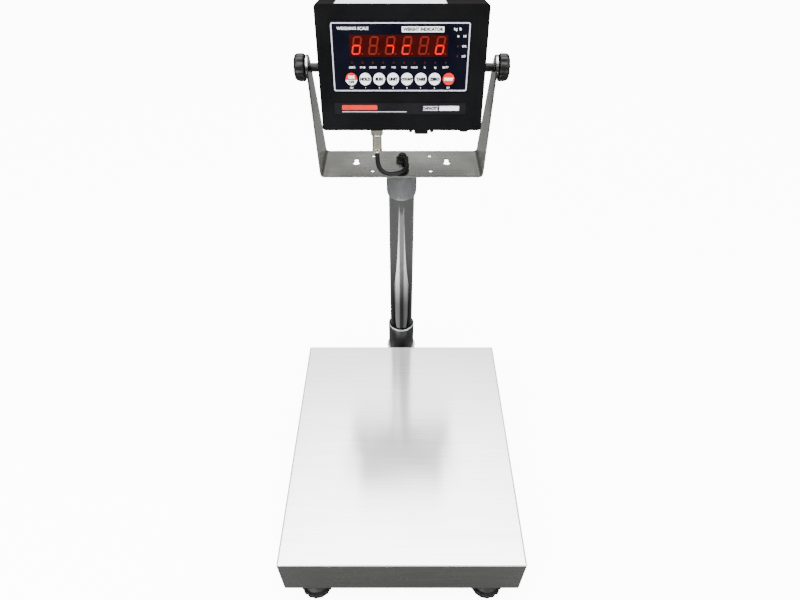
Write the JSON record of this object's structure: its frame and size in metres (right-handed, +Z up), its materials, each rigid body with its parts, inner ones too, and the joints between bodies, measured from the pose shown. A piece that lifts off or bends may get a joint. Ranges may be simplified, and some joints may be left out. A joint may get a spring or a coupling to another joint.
{
  "type": "bench scale",
  "caption": "Bench scale: square-edged steel weighing pan on levelling feet, with a rear column and yoke that carry a tilting indicator with digits and keys.",
  "frame": {"origin": "middle of the footprint on the floor, under the whole scale", "axes": "+Z up, the front of the pan and the indicator's face towards -Y, +X to the operator's right as they face the scale"},
  "size_m": [0.305, 0.4355, 0.6393],
  "materials": {
    "pan_steel": "brushed, satin",
    "bracket_steel": "brushed, satin",
    "column_chrome": "polished",
    "zinc_steel": "zinc plated",
    "cell_alloy": "milled",
    "frame_paint": "grey paint",
    "housing_paint": "black powder coat",
    "black_plastic": "moulded, satin",
    "grey_plastic": "moulded, satin",
    "black_rubber": "matte",
    "overlay_film": "printed film",
    "red_lens": "clear red",
    "circuit_board": "solder mask",
    "nickel": "nickel plated",
    "red_key": "printed film",
    "white_key": "printed film"
  },
  "bodies": {
    "base": {"base_rail_left": "frame_paint", "base_rail_right": "frame_paint", "base_cross_front": "frame_paint", "base_cross_rear": "frame_paint", "cell_mount_plate": "zinc_steel", "cell_bolt_lower": "zinc_steel", "overload_stop_front_left": "zinc_steel", "overload_stop_front_right": "zinc_steel", "overload_stop_rear_left": "zinc_steel", "overload_stop_rear_right": "zinc_steel", "bracket_plate": "zinc_steel", "column_flange": "zinc_steel", "load_cell": "cell_alloy", "spirit_level": "cell_alloy", "column_socket": "frame_paint", "column_collar": "black_plastic", "cable_gland": "black_plastic", "column_tube": "column_chrome", "column_cap": "grey_plastic", "yoke_bracket": "bracket_steel", "load_cell_cable": "black_rubber", "signal_cable": "black_rubber"},
    "upper_frame": {"support_plate": "frame_paint", "support_rail_left": "frame_paint", "support_rail_right": "frame_paint", "cell_spacer": "zinc_steel", "cell_bolt_upper": "zinc_steel", "pan_pad_left": "black_rubber", "pan_pad_right": "black_rubber"},
    "pan": {"weighing_pan": "pan_steel"},
    "indicator": {"front_housing": "housing_paint", "rear_cover": "housing_paint", "face_overlay": "overlay_film", "label_strip": "overlay_film", "display_window": "red_lens", "display_board": "circuit_board", "main_board": "circuit_board", "battery": "grey_plastic", "serial_port": "black_plastic", "power_inlet": "black_plastic", "pivot_boss_left": "black_plastic", "pivot_boss_right": "black_plastic", "connector_socket": "nickel", "connector_plug": "nickel"},
    "knob_left": {"knob_left": "black_plastic"},
    "knob_right": {"knob_right": "black_plastic"},
    "foot_front_left": {"foot_front_left": "black_rubber"},
    "foot_front_right": {"foot_front_right": "black_rubber"},
    "foot_rear_left": {"foot_rear_left": "black_rubber"},
    "foot_rear_right": {"foot_rear_right": "black_rubber"},
    "connector_nut": {"connector_nut": "nickel"},
    "key_1": {"key_1": "red_key"},
    "key_2": {"key_2": "white_key"},
    "key_3": {"key_3": "white_key"},
    "key_4": {"key_4": "white_key"},
    "key_5": {"key_5": "white_key"},
    "key_6": {"key_6": "white_key"},
    "key_7": {"key_7": "white_key"},
    "key_8": {"key_8": "red_key"}
  },
  "joints": [
    {"name": "weigh_travel", "type": "slide", "parent": "base", "child": "upper_frame", "axis": [0, 0, 1], "range_m": [-0.0006, 0], "stiffness_N_per_m": 500000},
    {"name": "pan_lift", "type": "slide", "parent": "upper_frame", "child": "pan", "axis": [0, 0, 1], "range_m": [0, 0.1]},
    {"name": "indicator_tilt", "type": "hinge", "parent": "base", "child": "indicator", "pos_m": [0, 0.1706, 0.5642], "axis": [1, 0, 0], "range_deg": [-15, 40]},
    {"name": "knob_turn_left", "type": "hinge", "parent": "indicator", "child": "knob_left", "pos_m": [-0.118, 0.1706, 0.5642], "axis": [1, 0, 0], "continuous": true},
    {"name": "knob_turn_right", "type": "hinge", "parent": "indicator", "child": "knob_right", "pos_m": [0.118, 0.1706, 0.5642], "axis": [1, 0, 0], "continuous": true},
    {"name": "foot_front_left_turn", "type": "hinge", "parent": "base", "child": "foot_front_left", "pos_m": [-0.115, -0.1954, 0.01], "axis": [0, 0, 1], "continuous": true},
    {"name": "foot_front_right_turn", "type": "hinge", "parent": "base", "child": "foot_front_right", "pos_m": [0.115, -0.1954, 0.01], "axis": [0, 0, 1], "continuous": true},
    {"name": "foot_rear_left_turn", "type": "hinge", "parent": "base", "child": "foot_rear_left", "pos_m": [-0.115, 0.1166, 0.01], "axis": [0, 0, 1], "continuous": true},
    {"name": "foot_rear_right_turn", "type": "hinge", "parent": "base", "child": "foot_rear_right", "pos_m": [0.115, 0.1166, 0.01], "axis": [0, 0, 1], "continuous": true},
    {"name": "connector_nut_turn", "type": "hinge", "parent": "indicator", "child": "connector_nut", "pos_m": [-0.0302, 0.14545, 0.49738], "axis": [0, 0.1478, 0.989], "continuous": true},
    {"name": "key_1_press", "type": "slide", "parent": "indicator", "child": "key_1", "axis": [0, 0.989, -0.1478], "range_m": [0, 0.0006], "stiffness_N_per_m": 400},
    {"name": "key_2_press", "type": "slide", "parent": "indicator", "child": "key_2", "axis": [0, 0.989, -0.1478], "range_m": [0, 0.0006], "stiffness_N_per_m": 400},
    {"name": "key_3_press", "type": "slide", "parent": "indicator", "child": "key_3", "axis": [0, 0.989, -0.1478], "range_m": [0, 0.0006], "stiffness_N_per_m": 400},
    {"name": "key_4_press", "type": "slide", "parent": "indicator", "child": "key_4", "axis": [0, 0.989, -0.1478], "range_m": [0, 0.0006], "stiffness_N_per_m": 400},
    {"name": "key_5_press", "type": "slide", "parent": "indicator", "child": "key_5", "axis": [0, 0.989, -0.1478], "range_m": [0, 0.0006], "stiffness_N_per_m": 400},
    {"name": "key_6_press", "type": "slide", "parent": "indicator", "child": "key_6", "axis": [0, 0.989, -0.1478], "range_m": [0, 0.0006], "stiffness_N_per_m": 400},
    {"name": "key_7_press", "type": "slide", "parent": "indicator", "child": "key_7", "axis": [0, 0.989, -0.1478], "range_m": [0, 0.0006], "stiffness_N_per_m": 400},
    {"name": "key_8_press", "type": "slide", "parent": "indicator", "child": "key_8", "axis": [0, 0.989, -0.1478], "range_m": [0, 0.0006], "stiffness_N_per_m": 400}
  ]
}
